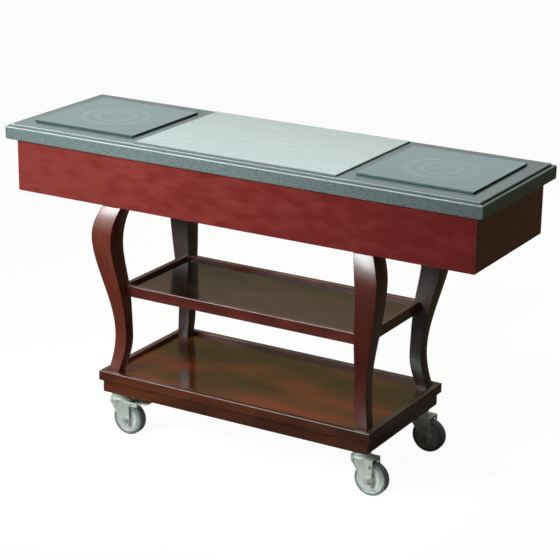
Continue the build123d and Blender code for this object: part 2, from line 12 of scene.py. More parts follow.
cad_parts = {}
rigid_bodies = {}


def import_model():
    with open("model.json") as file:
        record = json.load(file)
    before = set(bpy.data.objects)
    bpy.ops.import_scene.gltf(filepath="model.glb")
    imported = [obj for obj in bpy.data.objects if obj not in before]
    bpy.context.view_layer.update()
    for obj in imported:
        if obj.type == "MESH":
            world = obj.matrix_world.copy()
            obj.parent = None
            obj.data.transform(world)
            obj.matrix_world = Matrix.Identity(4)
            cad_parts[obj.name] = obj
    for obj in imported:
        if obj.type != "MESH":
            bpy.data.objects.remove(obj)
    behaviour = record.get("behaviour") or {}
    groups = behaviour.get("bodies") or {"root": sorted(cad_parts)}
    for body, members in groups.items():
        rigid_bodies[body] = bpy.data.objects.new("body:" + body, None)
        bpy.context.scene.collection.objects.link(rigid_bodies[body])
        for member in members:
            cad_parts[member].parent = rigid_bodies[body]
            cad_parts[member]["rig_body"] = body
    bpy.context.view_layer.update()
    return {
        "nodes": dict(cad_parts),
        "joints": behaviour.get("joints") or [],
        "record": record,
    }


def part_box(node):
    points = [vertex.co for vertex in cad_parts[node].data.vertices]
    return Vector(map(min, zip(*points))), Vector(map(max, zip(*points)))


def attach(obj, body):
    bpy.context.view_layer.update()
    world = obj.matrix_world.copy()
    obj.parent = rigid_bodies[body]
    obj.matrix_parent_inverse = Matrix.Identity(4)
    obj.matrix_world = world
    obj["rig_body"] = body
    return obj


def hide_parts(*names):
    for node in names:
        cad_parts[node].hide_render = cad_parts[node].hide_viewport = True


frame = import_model()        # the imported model, which stays as it is
nodes = frame["nodes"]

MM = 0.001
MERGE = 0.01 * MM                  # points closer than this become one
REAL_EDGE = math.radians(35)       # a sharper turn between two faces stays an edge
CORNERS = ("front_left", "front_right", "back_left", "back_right")
BRAKED = ("front_left", "back_left")
PLAIN = ("front_right", "back_right")
HOBS = ("left", "right")
AXES = {"x": Vector((1, 0, 0)), "y": Vector((0, 1, 0)), "z": Vector((0, 0, 1))}


def middle(node):
    """The middle of a node's box."""
    low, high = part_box(node)
    return (low + high) / 2


# Shader nodes

def linear(colour):
    """An sRGB hex colour as linear red, green, blue and alpha."""
    parts = [int(colour[i:i + 2], 16) / 255 for i in (1, 3, 5)]
    return [p / 12.92 if p <= 0.04045 else ((p + 0.055) / 1.055) ** 2.4 for p in parts] + [1.0]


def plug(tree, node, sockets):
    """Sets a node's inputs by identifier: a value, a colour in hex, another node or one of its outputs."""
    inputs = {socket.identifier: socket for socket in node.inputs}
    for key, value in sockets.items():
        if isinstance(value, bpy.types.Node):
            value = next(output for output in value.outputs if output.enabled)
        if isinstance(value, bpy.types.NodeSocket):
            tree.links.new(value, inputs[key])
        else:
            inputs[key].default_value = linear(value) if isinstance(value, str) else value
    return node


def add(tree, kind, sockets=None, stops=(), **settings):
    """Adds a shader node with its settings, its inputs and, on a colour ramp, its stops."""
    node = tree.nodes.new("ShaderNode" + kind)
    for key, value in settings.items():
        setattr(node, key, value)
    for i, (at, colour) in enumerate(stops):
        ramp = node.color_ramp.elements
        stop = ramp[i] if i < len(ramp) else ramp.new(at)
        stop.position = at
        stop.color = linear(colour)
    return plug(tree, node, sockets or {})


def finish_named(name):
    """A new material: itself, its tree, its shader and the place of each point in metres."""
    made = bpy.data.materials.new(name)
    made.use_nodes = True
    tree = made.node_tree
    place = add(tree, "TexCoord").outputs["Object"]
    return made, tree, tree.nodes["Principled BSDF"], place


def worn_and_highlit_edges(tree, reach):
    """A mask that is 1 along the edges of a piece and falls to 0 within a reach of them."""
    on_edge, on_face = 0.8, 0.99      # how alike the flat and the rounded normal are there
    flat = add(tree, "NewGeometry").outputs["Normal"]
    round_over = add(tree, "Bevel", {"Radius": reach}, samples=4)
    alike = add(tree, "VectorMath", {"Vector": flat, "Vector_001": round_over}, operation="DOT_PRODUCT")
    return add(tree, "MapRange", {"Value": alike.outputs["Value"], "From Min": on_edge,
                                  "From Max": on_face, "To Min": 1.0, "To Max": 0.0})


# Finishes

# Of each stain: its thick, even and thin tone, the tone along its edges (partly where the stain is rubbed
# off, partly a painted highlight), the width of its clouds, the roughness of its lacquer, and how far its
# tone shifts per metre to the right and to the back, which paints light and shade falling off across the
# boards
WOOD_TONES = {"red": ("#7d2a28", "#86322e", "#8e3a34", "#8c4a38", 30 * MM, 0.16, (-0.2, 0)),
              "chestnut": ("#6a2d1f", "#703123", "#763526", "#8a5636", 60 * MM, 0.27, (0, 0)),
              "maroon": ("#561f17", "#5b2318", "#60261a", "#80502f", 60 * MM, 0.30, (0, 0)),
              "russet": ("#4f1d16", "#5d251c", "#6a2d23", "#a3958c", 50 * MM, 0.16, (0, 0)),
              "amber": ("#42290f", "#6e3819", "#a03f20", "#5f5246", 170 * MM, 0.12, (0, -0.6)),
              "brown": ("#482312", "#562914", "#6a3417", "#434a4b", 60 * MM, 0.32, (-0.36, 0)),
              "umber_shade": ("#1a0c07", "#372418", "#513c2d", "#4a3a2e", 120 * MM, 0.10, (0.36, 0)),
              "dusk_shade": ("#3c2d2b", "#463533", "#503e3a", "#94682f", 60 * MM, 0.30, (0, 0))}


def stained_mahogany(run, stain):
    """Mahogany wiped with a red or brown stain and lacquered to a gloss, its grain along x, y or z.
    The eye sees cloudy patches where the stain lies thick, faint streaks, painted light and shade falling
    off along some boards, a clear mirror film, and a lighter tone along the edges, partly where the stain
    is rubbed off and partly a painted highlight."""
    thick, even, thin, edge_tone, cloud_width, gloss, light_falloff = WOOD_TONES[stain]
    cloud_length = 2.2 * cloud_width
    streak_width, streak_length, streak_share = 9 * MM, 240 * MM, 0.12
    pore_width, pore_length, pore_depth = 2.2 * MM, 40 * MM, 0.2 * MM      # wider than real pores, to show
    edge_width, edge_share = 3 * MM, 0.8
    made, tree, shader, place = finish_named(f"mahogany_{stain}_stain_gloss_lacquer_{run}")
    along = "xyz".index(run)

    def stretched(width, length):
        """Each point's place, scaled to a pattern's width across the grain and its length along it."""
        scale = [1 / width] * 3
        scale[along] = 1 / length
        return add(tree, "Mapping", {"Vector": place, "Scale": scale})

    clouds = add(tree, "TexNoise", {"Vector": stretched(cloud_width, cloud_length), "Scale": 1,
                                    "Detail": 1.5, "Distortion": 0.3})
    streaks = add(tree, "TexNoise", {"Vector": stretched(streak_width, streak_length), "Scale": 1,
                                     "Detail": 3, "Distortion": 0.6})
    pores = add(tree, "TexNoise", {"Vector": stretched(pore_width, pore_length), "Scale": 1, "Detail": 2})
    wiped = add(tree, "Mix", {"Factor_Float": streak_share, "A_Float": clouds, "B_Float": streaks})
    # Painted light and shade: the tone shifts across some boards, lighter where more light falls on them.
    painted_falloff = add(tree, "VectorMath", {"Vector": place, "Vector_001": (*light_falloff, 0)},
                operation="DOT_PRODUCT")
    stain_and_falloff = add(tree, "Math", {"Value": wiped, "Value_001": painted_falloff.outputs["Value"]}, operation="ADD")
    wood = add(tree, "ValToRGB", {"Fac": stain_and_falloff}, stops=[(0.36, thick), (0.50, even), (0.66, thin)])
    pore_shade = add(tree, "ValToRGB", {"Fac": pores}, stops=[(0.56, "#ffffff"), (0.76, "#ece8e6")])
    filled = add(tree, "Mix", {"Factor_Float": 1.0, "A_Color": wood, "B_Color": pore_shade},
                 data_type="RGBA", blend_type="MULTIPLY")
    # Lighter edges: partly wear where the stain is rubbed off, partly a painted highlight along them.
    wear_and_highlight = add(tree, "Math", {"Value": worn_and_highlit_edges(tree, edge_width), "Value_001": edge_share},
               operation="MULTIPLY")
    colour = add(tree, "Mix", {"Factor_Float": wear_and_highlight, "A_Color": filled, "B_Color": edge_tone},
                 data_type="RGBA")
    rough = add(tree, "MapRange", {"Value": clouds, "To Min": gloss * 0.8, "To Max": gloss * 1.2})
    bump = add(tree, "Bump", {"Height": pores, "Strength": 0.008, "Distance": pore_depth})
    plug(tree, shader, {"Base Color": colour, "Roughness": rough, "Normal": bump, "IOR": 1.5,
                        "Specular IOR Level": 0.75})
    return made


def granite_composite():
    """Cast acrylic solid surface with mineral flecks, sanded to a soft sheen.
    The eye sees a cool grey ground with fine light and dark flecks, a blurred grazing sheen, and pale
    lines painted along the rounded upper edges as highlights."""
    fleck, grit, grit_height = 2.6 * MM, 1.3 * MM, 3.5 * MM      # the real 1 mm is drawn coarser, to show
    edge_highlight_strength = "#b4b4b4"      # how far the painted edge highlights go towards their pale tone
    made, tree, shader, place = finish_named("granite_composite_sanded")
    flecks = add(tree, "TexVoronoi", {"Vector": place, "Scale": 1 / fleck, "Randomness": 1.0})
    grit_place = add(tree, "Mapping", {"Vector": place, "Scale": (1 / grit, 1 / grit, 1 / grit_height)})
    grains = add(tree, "TexNoise", {"Vector": grit_place, "Scale": 1, "Detail": 3})
    ground = add(tree, "ValToRGB", {"Fac": grains},
                 stops=[(0.34, "#647676"), (0.50, "#879c9b"), (0.66, "#a4b6b4")])
    tone = add(tree, "ValToRGB", {"Fac": flecks.outputs["Color"]},
               stops=[(0.12, "#b2babb"), (0.30, "#dcdcdc"), (0.80, "#dcdcdc"), (0.95, "#ffffff")])
    speckled = add(tree, "Mix", {"Factor_Float": 1.0, "A_Color": ground, "B_Color": tone},
                   data_type="RGBA", blend_type="MULTIPLY")
    # Painted highlight: where the normal leans between up and sideways, on the rounded upper edges, the
    # colour turns pale.
    facing = add(tree, "SeparateXYZ", {"Vector": add(tree, "NewGeometry").outputs["Normal"]})
    arris = add(tree, "ValToRGB", {"Fac": facing.outputs["Z"]},
                stops=[(0.08, "#000000"), (0.35, edge_highlight_strength), (0.85, edge_highlight_strength), (0.98, "#000000")])
    colour = add(tree, "Mix", {"Factor_Float": arris, "A_Color": speckled, "B_Color": "#d9e6e4"},
                 data_type="RGBA")
    rough = add(tree, "MapRange", {"Value": grains, "To Min": 0.2, "To Max": 0.3})
    bump = add(tree, "Bump", {"Height": grains, "Strength": 0.05, "Distance": 0.1 * MM})
    plug(tree, shader, {"Base Color": colour, "Roughness": rough, "Normal": bump, "IOR": 1.5,
                        "Specular IOR Level": 0.4})
    return made


def brushed_stainless():
    """Stainless sheet brushed along its length. The eye sees a pale mirror, blurred across fine lines."""
    line, length = 1.8 * MM, 160 * MM      # real brush lines are finer; drawn coarser, so that they show
    smudge = 70 * MM
    made, tree, shader, place = finish_named("stainless_sheet_brushed")
    brush_place = add(tree, "Mapping", {"Vector": place, "Scale": (1 / length, 1 / line, 1 / line)})
    lines = add(tree, "TexNoise", {"Vector": brush_place, "Scale": 1, "Detail": 3})
    smudges = add(tree, "TexNoise", {"Vector": place, "Scale": 1 / smudge, "Detail": 2})
    colour = add(tree, "ValToRGB", {"Fac": lines}, stops=[(0.3, "#b4b8b5"), (0.7, "#cfd2cf")])
    blur = add(tree, "Math", {"Value": lines, "Value_001": smudges}, operation="ADD")
    rough = add(tree, "MapRange", {"Value": blur, "From Min": 0.6, "From Max": 1.4,
                                   "To Min": 0.2, "To Max": 0.34})
    bump = add(tree, "Bump", {"Height": lines, "Strength": 0.06, "Distance": 0.05 * MM})
    plug(tree, shader, {"Base Color": colour, "Metallic": 1.0, "Roughness": rough, "Normal": bump})
    return made


def ceramic_glass(side):
    """Black glass ceramic, drawn and polished, with a cooking zone screen-printed in grey enamel.
    The eye sees a clear dark mirror, and two faint rings and two touch dots where the print lies on it."""
    dot, dot_apart, dot_inset = 4.5 * MM, 36 * MM, 24 * MM
    rings = ((106 * MM, 87 * MM), (65 * MM, 47 * MM))      # outer and inner radius of each printed ring
    forward = 8 * MM                                       # of the zone from the middle of the glass
    reach, smear = 120 * MM, 60 * MM                       # of the printed field, and of finger marks
    low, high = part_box(f"hob_glass_{side}")
    made, tree, shader, place = finish_named(f"glass_ceramic_printed_{side}")
    zone = Vector(((low.x + high.x) / 2, (low.y + high.y) / 2 - forward, 0))
    zone_place = add(tree, "Mapping", {"Vector": place, "Location": [-zone.x / reach, -zone.y / reach, 0],
                                       "Scale": [1 / reach, 1 / reach, 0]})
    inward = add(tree, "TexGradient", {"Vector": zone_place}, gradient_type="SPHERICAL")
    stops = [(0, "#000000")]
    for outer, inner in rings:
        stops += [(1 - outer / reach, "#ffffff"), (1 - inner / reach, "#000000")]
    printed = add(tree, "ValToRGB", {"Fac": inward}, stops=stops)
    printed.color_ramp.interpolation = "CONSTANT"
    for along in (-0.5, 0.5):
        spot = Vector((zone.x + along * dot_apart, high.y - dot_inset)) / dot
        dot_place = add(tree, "Mapping", {"Vector": place, "Location": [-spot.x, -spot.y, 0],
                                          "Scale": [1 / dot, 1 / dot, 0]})
        within = add(tree, "TexGradient", {"Vector": dot_place}, gradient_type="SPHERICAL")
        disc = add(tree, "Math", {"Value": within, "Value_001": 0.0}, operation="GREATER_THAN")
        printed = add(tree, "Math", {"Value": printed, "Value_001": disc}, operation="MAXIMUM")
    smears = add(tree, "TexNoise", {"Vector": place, "Scale": 1 / smear, "Detail": 3})
    ground = add(tree, "ValToRGB", {"Fac": smears}, stops=[(0.3, "#284541"), (0.7, "#33504a")])
    colour = add(tree, "Mix", {"Factor_Float": printed, "A_Color": ground, "B_Color": "#5d7672"},
                 data_type="RGBA")
    rough = add(tree, "MapRange", {"Value": smears, "To Min": 0.04, "To Max": 0.1})
    plug(tree, shader, {"Base Color": colour, "Roughness": rough, "IOR": 1.62, "Specular Tint": "#dcffff"})
    return made


def plain_finish(name, dark, light, grain, rough, metallic=0.0, bump=0.0):
    """A finish of two close tones at one grain size, for moulded, plated, cast or sawn stock."""
    made, tree, shader, place = finish_named(name)
    tones = add(tree, "TexNoise", {"Vector": place, "Scale": 1 / grain, "Detail": 4})
    colour = add(tree, "ValToRGB", {"Fac": tones}, stops=[(0.35, dark), (0.65, light)])
    blur = add(tree, "MapRange", {"Value": tones, "From Min": 0.3, "From Max": 0.7,
                                  "To Min": rough * 0.85, "To Max": rough * 1.15})
    height = add(tree, "Bump", {"Height": tones, "Strength": bump, "Distance": 0.1 * MM})
    plug(tree, shader, {"Base Color": colour, "Roughness": blur, "Metallic": metallic, "Normal": height})
    return made


composite = granite_composite()
stainless = brushed_stainless()
printed_glass = {side: ceramic_glass(side) for side in HOBS}
# Silicone rubber, extruded: near black, dull
seal_rubber = plain_finish("silicone_rubber_extruded", "#141616", "#1f2222", 6 * MM, 0.6)
# Silicone sealant, tooled with a wet finger: mid grey, dull
sealant = plain_finish("silicone_sealant_tooled", "#5e6665", "#6c7473", 8 * MM, 0.5)
# Birch plywood, sanded: pale warm face veneer
plywood = plain_finish("birch_plywood_sanded", "#a5825a", "#bd9a6e", 25 * MM, 0.65, bump=0.1)
# Steel sheet, hot-dip galvanised: pale grey with soft spangle
galvanised = plain_finish("steel_sheet_galvanised", "#9aa0a1", "#b9bec0", 14 * MM, 0.42, metallic=1.0)
# Aluminium sheet, rolled: bright, faintly mottled
aluminium = plain_finish("aluminium_sheet_rolled", "#c3c6c8", "#d9dbdc", 20 * MM, 0.34, metallic=1.0)
# Copper litz wire, varnished: warm, semi-gloss
copper = plain_finish("copper_litz_varnished", "#8a4b2a", "#b46a3e", 4 * MM, 0.38, metallic=1.0)
# Glass-epoxy board under solder resist: deep green, satin
circuit_board = plain_finish("glass_epoxy_board_coated", "#14452b", "#1d5a38", 7 * MM, 0.4)
# ABS, moulded with a fine spark texture: black, dull
black_plastic = plain_finish("abs_moulded_black", "#16181a", "#202325", 2 * MM, 0.48, bump=0.1)
# Polycarbonate, moulded: mid grey, dull
grey_plastic = plain_finish("polycarbonate_moulded_grey", "#8a8e90", "#989c9e", 3 * MM, 0.5, bump=0.08)
# Rubber, extruded: black, dull cable jacket
cable_jacket = plain_finish("rubber_extruded_black", "#17181a", "#222426", 5 * MM, 0.5)
# Steel, pressed, zinc plated and passivated: pale satin grey with a faint green cast and soft blotches
zinc_steel = plain_finish("steel_pressed_zinc_plated", "#ccd5c9", "#e3eae0", 16 * MM, 0.45, metallic=0.4)
# Steel, turned and zinc plated: a little darker and smoother than the pressings
bolt_steel = plain_finish("steel_turned_zinc_plated", "#a2a9a4", "#b9c0bb", 6 * MM, 0.4, metallic=0.4)
# Polypropylene, moulded: light grey, soft sheen
hub_plastic = plain_finish("polypropylene_moulded_grey", "#c8d0cd", "#d6deda", 9 * MM, 0.45, bump=0.05)
# Thermoplastic rubber, moulded: mid grey, dull, a little scuffed
tyre_rubber = plain_finish("thermoplastic_rubber_moulded", "#6e7572", "#7f8683", 7 * MM, 0.6, bump=0.15)
# Brass, turned and plated: bright pale gold contact pins
pin_brass = plain_finish("brass_turned_plated", "#b9a878", "#d0c08e", 3 * MM, 0.25, metallic=1.0)

FINISH_OF_SLOT = {
    "solid_surface": composite, "plywood": plywood, "stainless": stainless, "seal": seal_rubber,
    "galvanised": galvanised, "aluminium": aluminium, "copper": copper, "circuit_board": circuit_board,
    "black_plastic": black_plastic, "grey_plastic": grey_plastic, "cable_jacket": cable_jacket,
    "zinc_steel": zinc_steel, "bolt_steel": bolt_steel, "hub_plastic": hub_plastic,
    "tread_rubber": tyre_rubber,
}
GRAIN_RUN = {"apron_left": "y", "apron_right": "y", "_end_": "y", "leg_": "z"}      # along x elsewhere
# The front right leg, the back legs and the mid shelf's panel take darker tones: painted shade on the same
# mahogany, where less light falls.
STAIN_OF = {"apron": "red", "leg_front_left": "chestnut", "leg_front_right": "maroon", "leg_back": "dusk_shade",
            "base_panel": "amber", "mid_shelf_panel": "umber_shade", "mid_shelf": "russet"}      # brown elsewhere
SLOT_OF = {row["node"]: row["material_slot"] for row in frame["record"]["subparts"]}
mahogany = {}


def finish_of(node):
    """The finish of a node: wood by its grain and stain, glass by its side, the rest by its slot."""
    slot = SLOT_OF[node]
    if slot == "lacquered_wood":
        run = next((run for part, run in GRAIN_RUN.items() if part in node), "x")
        stain = next((stain for part, stain in STAIN_OF.items() if part in node), "brown")
        if (run, stain) not in mahogany:
            mahogany[run, stain] = stained_mahogany(run, stain)
        return mahogany[run, stain]
    if slot == "ceramic_glass":
        return printed_glass[node.rsplit("_", 1)[1]]
    return FINISH_OF_SLOT[slot]


for name, node in nodes.items():
    node.data.materials.clear()
    node.data.materials.append(finish_of(name))


# Modelling

# How far the edges of the turned, pressed and moulded pieces are rounded over
FORK_EDGE, BOLT_EDGE, STEM_EDGE, PEDAL_EDGE, INLET_EDGE = (edge * MM for edge in (0.7, 0.5, 0.6, 0.6, 0.5))


def take(piece):
    """Selects one object alone."""
    bpy.ops.object.select_all(action="DESELECT")
    piece.select_set(True)
    bpy.context.view_layer.objects.active = piece


def edit(piece):
    """Opens a piece in edit mode, on its edges, with nothing selected."""
    take(piece)
    bpy.ops.object.mode_set(mode="EDIT")
    bpy.ops.mesh.select_mode(type="EDGE")
    bpy.ops.mesh.select_all(action="DESELECT")


def select_edges(piece, wanted):
    """Selects the edges that a test picks."""
    mesh = bmesh.from_edit_mesh(piece.data)
    for edge in mesh.edges:
        edge.select_set(wanted(edge))
    mesh.select_flush_mode()
    bmesh.update_edit_mesh(piece.data)


def close(piece, name, finish):
    """Leaves edit mode, names the piece, gives it its finish and smooths what is not a real edge."""
    if piece.mode == "EDIT":
        bpy.ops.object.mode_set(mode="OBJECT")
    piece.name = piece.data.name = name
    piece.data.materials.clear()
    piece.data.materials.append(finish)
    take(piece)
    bpy.ops.object.transform_apply(location=True, rotation=True, scale=True)
    bpy.ops.object.shade_smooth_by_angle(angle=REAL_EDGE)
    return piece


def copied(piece, name, shift):
    """A copy of a piece with its own mesh, moved by a shift."""
    take(piece)
    bpy.ops.object.duplicate(linked=False)
    copy = bpy.context.object
    bpy.ops.transform.translate(value=shift)
    bpy.ops.object.transform_apply(location=True)
    copy.name = copy.data.name = name
    return copy


def stand_for(piece, node):
    """The piece is shown in a node's place and on its body, and the node is hidden."""
    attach(piece, nodes[node]["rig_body"])
    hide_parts(node)


def stand_at(piece, kind, places):
    """A piece made for the first place stands there, and a copy of it at each other place."""
    first = f"{kind}_{places[0]}"
    standing = {first: piece}
    for place in places[1:]:
        node = f"{kind}_{place}"
        standing[node] = copied(piece, f"{node}_finished", middle(node) - middle(first))
    for node, shown in standing.items():
        stand_for(shown, node)


def square_edge(edge):
    """True on an outer edge between two faces that are about square to each other."""
    least, most = math.radians(70), math.radians(110)
    return len(edge.link_faces) == 2 and edge.is_convex and least < edge.calc_face_angle() < most


def softened(node, width):
    """A copy of a node with its square edges rounded over."""
    merge, flat, segments = 0.002 * MM, math.radians(0.2), 2
    piece = nodes[node].copy()
    piece.data = nodes[node].data.copy()
    piece.parent = None
    for key in list(piece.keys()):
        del piece[key]
    bpy.context.scene.collection.objects.link(piece)
    edit(piece)
    bpy.ops.mesh.customdata_custom_splitnormals_clear()
    bpy.ops.mesh.select_all(action="SELECT")
    bpy.ops.mesh.remove_doubles(threshold=merge)
    bpy.ops.mesh.dissolve_limited(angle_limit=flat)
    select_edges(piece, square_edge)
    bpy.ops.mesh.bevel(offset=width, segments=segments, affect="EDGES", clamp_overlap=True)
    return close(piece, f"{node}_finished", finish_of(node))


def turned(name, profile, centre, axis, finish, steps=96):
    """A turned piece: a line of points, each a radius and a place along the axis, spun round."""
    seed = 1 * MM
    axis = AXES[axis]
    points = [centre + AXES["x"] * radius + axis * at for radius, at in profile]
    bpy.ops.object.select_all(action="DESELECT")
    bpy.ops.mesh.primitive_plane_add(size=seed, location=points[0])
    piece = bpy.context.object
    bpy.ops.object.transform_apply(location=True)
    bpy.ops.object.mode_set(mode="EDIT")
    bpy.ops.mesh.select_mode(type="VERT")
    bpy.ops.mesh.select_all(action="SELECT")
    bpy.ops.mesh.merge(type="CENTER")
    for here, there in zip(points, points[1:]):
        bpy.ops.mesh.extrude_vertices_move(TRANSFORM_OT_translate={"value": there - here})
    bpy.ops.mesh.select_all(action="SELECT")
    bpy.ops.mesh.spin(steps=steps, angle=2 * math.pi, center=centre, axis=axis)
    bpy.ops.mesh.select_all(action="SELECT")
    bpy.ops.mesh.remove_doubles(threshold=MERGE)
    bpy.ops.mesh.normals_make_consistent(inside=False)
    return close(piece, name, finish)


def arc(centre, radius, start, end, steps):
    """Points of an arc in a profile, from one angle to another in degrees."""
    angles = [math.radians(start + (end - start) * i / steps) for i in range(steps + 1)]
    return [(centre[0] + radius * math.cos(a), centre[1] + radius * math.sin(a)) for a in angles]


# Legs

def section(leg, at, z):
    """How far a leg's section reaches at one height: its low and high corner, found by rays on the node."""
    reach = 0.5      # how far off the rays start
    low, high = Vector((0, 0, z)), Vector((0, 0, z))
    for i, axis in enumerate((AXES["x"], AXES["y"])):
        start = Vector((at.x, at.y, z))
        low[i] = leg.ray_cast(start - axis * reach, axis)[1][i]
        high[i] = leg.ray_cast(start + axis * reach, -axis)[1][i]
    return low, high


def shaped_leg(corner):
    """A cabriole leg, drawn up ring by ring from its foot, with its four long edges rounded over."""
    rings, arris, end = 56, 1.8 * MM, 0.4 * MM
    least_rise = 1 * MM      # of an edge that runs up the leg
    node = f"leg_{corner}"
    low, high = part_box(node)
    heights = [low.z + end + (high.z - low.z - 2 * end) * i / rings for i in range(rings + 1)]
    sole = Vector((0, 0, low.z))
    foot = [v.co for v in nodes[node].data.vertices if v.co.z < low.z + end]
    for point in foot:
        sole += point / len(foot)
    sections = []
    for z in heights:
        sections.append(section(nodes[node], sole, z))
        sole = sum(sections[-1], Vector()) / 2
    sections[0][0].z = sections[0][1].z = low.z
    sections[-1][0].z = sections[-1][1].z = high.z
    first = sections[0]
    bpy.ops.object.select_all(action="DESELECT")
    bpy.ops.mesh.primitive_plane_add(size=1, location=(first[0] + first[1]) / 2)
    piece = bpy.context.object
    piece.scale = (first[1].x - first[0].x, first[1].y - first[0].y, 1)
    bpy.ops.object.transform_apply(location=True, scale=True)
    bpy.ops.object.mode_set(mode="EDIT")
    for (low_a, high_a), (low_b, high_b) in zip(sections, sections[1:]):
        lift = (low_b + high_b - low_a - high_a) / 2
        swell = [(high_b[i] - low_b[i]) / (high_a[i] - low_a[i]) for i in (0, 1)]
        bpy.ops.mesh.extrude_region_move(TRANSFORM_OT_translate={"value": lift})
        bpy.ops.transform.resize(value=(*swell, 1), center_override=(low_b + high_b) / 2)
    bpy.ops.mesh.select_all(action="SELECT")
    bpy.ops.mesh.normals_make_consistent(inside=False)
    bpy.ops.mesh.select_mode(type="EDGE")
    select_edges(piece, lambda edge: abs(edge.verts[0].co.z - edge.verts[1].co.z) > least_rise)
    bpy.ops.mesh.bevel(offset=arris, segments=3, affect="EDGES", clamp_overlap=True)
    return close(piece, f"{node}_finished", finish_of(node))


def mirrored_leg(leg, corner, flip):
    """The leg of another corner: a copy of one leg, mirrored across the middle of the cart."""
    node = f"leg_{corner}"
    piece = copied(leg, f"{node}_finished", Vector())
    edit(piece)
    bpy.ops.mesh.select_all(action="SELECT")
    bpy.ops.transform.resize(value=(*flip, 1), center_override=(0, 0, 0))
    bpy.ops.mesh.remove_doubles(threshold=MERGE)
    bpy.ops.mesh.normals_make_consistent(inside=False)
    close(piece, piece.name, finish_of(node))
    stand_for(piece, node)


carved = shaped_leg("front_left")
for corner, flip in (("front_right", (-1, 1)), ("back_left", (1, -1)), ("back_right", (-1, -1))):
    mirrored_leg(carved, corner, flip)
stand_for(carved, "leg_front_left")


# Landing plate

def plate_bead():
    """A bead of grey silicone, run round the landing plate and lapped a little over its edge."""
    width, lap, above, droop = 2.2 * MM, 0.7 * MM, 0.2 * MM, 1.4 * MM
    low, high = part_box("centre_plate")
    height = high.z - low.z + above
    spread = width - lap
    bpy.ops.object.select_all(action="DESELECT")
    bpy.ops.mesh.primitive_plane_add(size=1, location=((low.x + high.x) / 2, (low.y + high.y) / 2, low.z))
    piece = bpy.context.object
    piece.scale = (high.x - low.x + 2 * spread, high.y - low.y + 2 * spread, 1)
    bpy.ops.object.transform_apply(location=True, scale=True)
    bpy.ops.object.mode_set(mode="EDIT")
    bpy.ops.mesh.select_mode(type="FACE")
    bpy.ops.mesh.select_all(action="SELECT")
    bpy.ops.mesh.inset(thickness=width)
    bpy.ops.mesh.delete(type="FACE")
    bpy.ops.mesh.select_all(action="SELECT")
    bpy.ops.mesh.extrude_region_move(TRANSFORM_OT_translate={"value": AXES["z"] * height})
    bpy.ops.mesh.select_all(action="SELECT")
    bpy.ops.mesh.normals_make_consistent(inside=False)
    bpy.ops.mesh.select_mode(type="EDGE")
    outside = (high.x - low.x + spread) / 2, (high.y - low.y + spread) / 2

    def upper_outer(edge):
        spots = [v.co for v in edge.verts]
        level = all(spot.z > low.z + height / 2 for spot in spots)
        return level and all(abs(spot.x) > outside[0] and abs(spot.y) > outside[1] for spot in spots)

    select_edges(piece, upper_outer)
    bpy.ops.mesh.bevel(offset=droop, segments=3, affect="EDGES", clamp_overlap=True)
    close(piece, "plate_bead", sealant)
    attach(piece, nodes["centre_plate"]["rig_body"])


plate_bead()


# Casters: each piece is made once and copied to the other corners

def tyre():
    """Tyre: rounded shoulders, a sidewall that sinks to the bead and a low seam round the tread."""
    node = f"tyre_{CORNERS[0]}"
    low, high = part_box(node)
    radius, half = (high.z - low.z) / 2, (high.y - low.y) / 2
    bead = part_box(f"wheel_hub_{CORNERS[0]}")[1].z - middle(node).z
    shoulder, shoulder_steps = 6.6 * MM, 8
    seam, seam_half, wall_in, wall_up = 0.35 * MM, 0.5 * MM, 1.2 * MM, 1.6 * MM
    side = [(bead, half - wall_in), (bead + wall_up, half - wall_in / 2)]
    side += arc((radius - seam - shoulder, half - shoulder), shoulder, 90, 0, shoulder_steps)
    side += [(radius - seam, seam_half * 2), (radius, seam_half)]
    profile = side + [(r, -at) for r, at in reversed(side)]
    return turned(f"{node}_finished", profile + profile[:1], middle(node), "y", tyre_rubber)


def wheel_hub():
    """Hub: a boss, a shallow web, a groove and a rounded rim that holds the tyre."""
    node = f"wheel_hub_{CORNERS[0]}"
    low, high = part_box(node)
    boss, rim = (high.y - low.y) / 2, (high.z - low.z) / 2
    bore, boss_flat, boss_round = 6.1 * MM, 11.4 * MM, 1 * MM
    face, rim_drop = 13 * MM, 0.4 * MM
    # Radius, and rise over the face, in millimetres
    web = ((15, 0.6), (17, 0), (34, 0.4))
    groove = ((34.4, -3), (36.6, -3))
    lip = ((37, 0.8), (37.8, 1.7), (39.4, 1.7), (40.5, 0.9))
    side = [(bore, boss), (boss_flat, boss), (boss_flat + boss_round, boss - boss_round)]
    side += [(radius * MM, face + rise * MM) for radius, rise in web + groove + lip]
    side += [(rim, face - rim_drop)]
    profile = side + [(r, -at) for r, at in reversed(side)]
    return turned(f"{node}_finished", profile + profile[:1], middle(node), "y", hub_plastic)


def axle_washers():
    """Washers between the fork's cheeks and the axle bolt's head and nut."""
    cheek, gauge, rim, hole = 25 * MM, 1.2 * MM, 11.2 * MM, 6 * MM
    wheel = middle(f"tyre_{CORNERS[0]}")
    profile = [(hole, cheek), (rim, cheek), (rim, cheek + gauge / 2), (rim - gauge / 2, cheek + gauge),
               (hole, cheek + gauge), (hole, cheek)]
    for face, side in (("head", -1), ("nut", 1)):
        outline = [(r, side * at) for r, at in profile]
        first = turned(f"axle_washer_{face}_{CORNERS[0]}", outline, wheel, "y", bolt_steel)
        washers = {CORNERS[0]: first}
        for corner in CORNERS[1:]:
            shift = middle(f"tyre_{corner}") - wheel
            washers[corner] = copied(first, f"axle_washer_{face}_{corner}", shift)
        for corner, washer in washers.items():
            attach(washer, nodes[f"axle_bolt_{corner}"]["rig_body"])


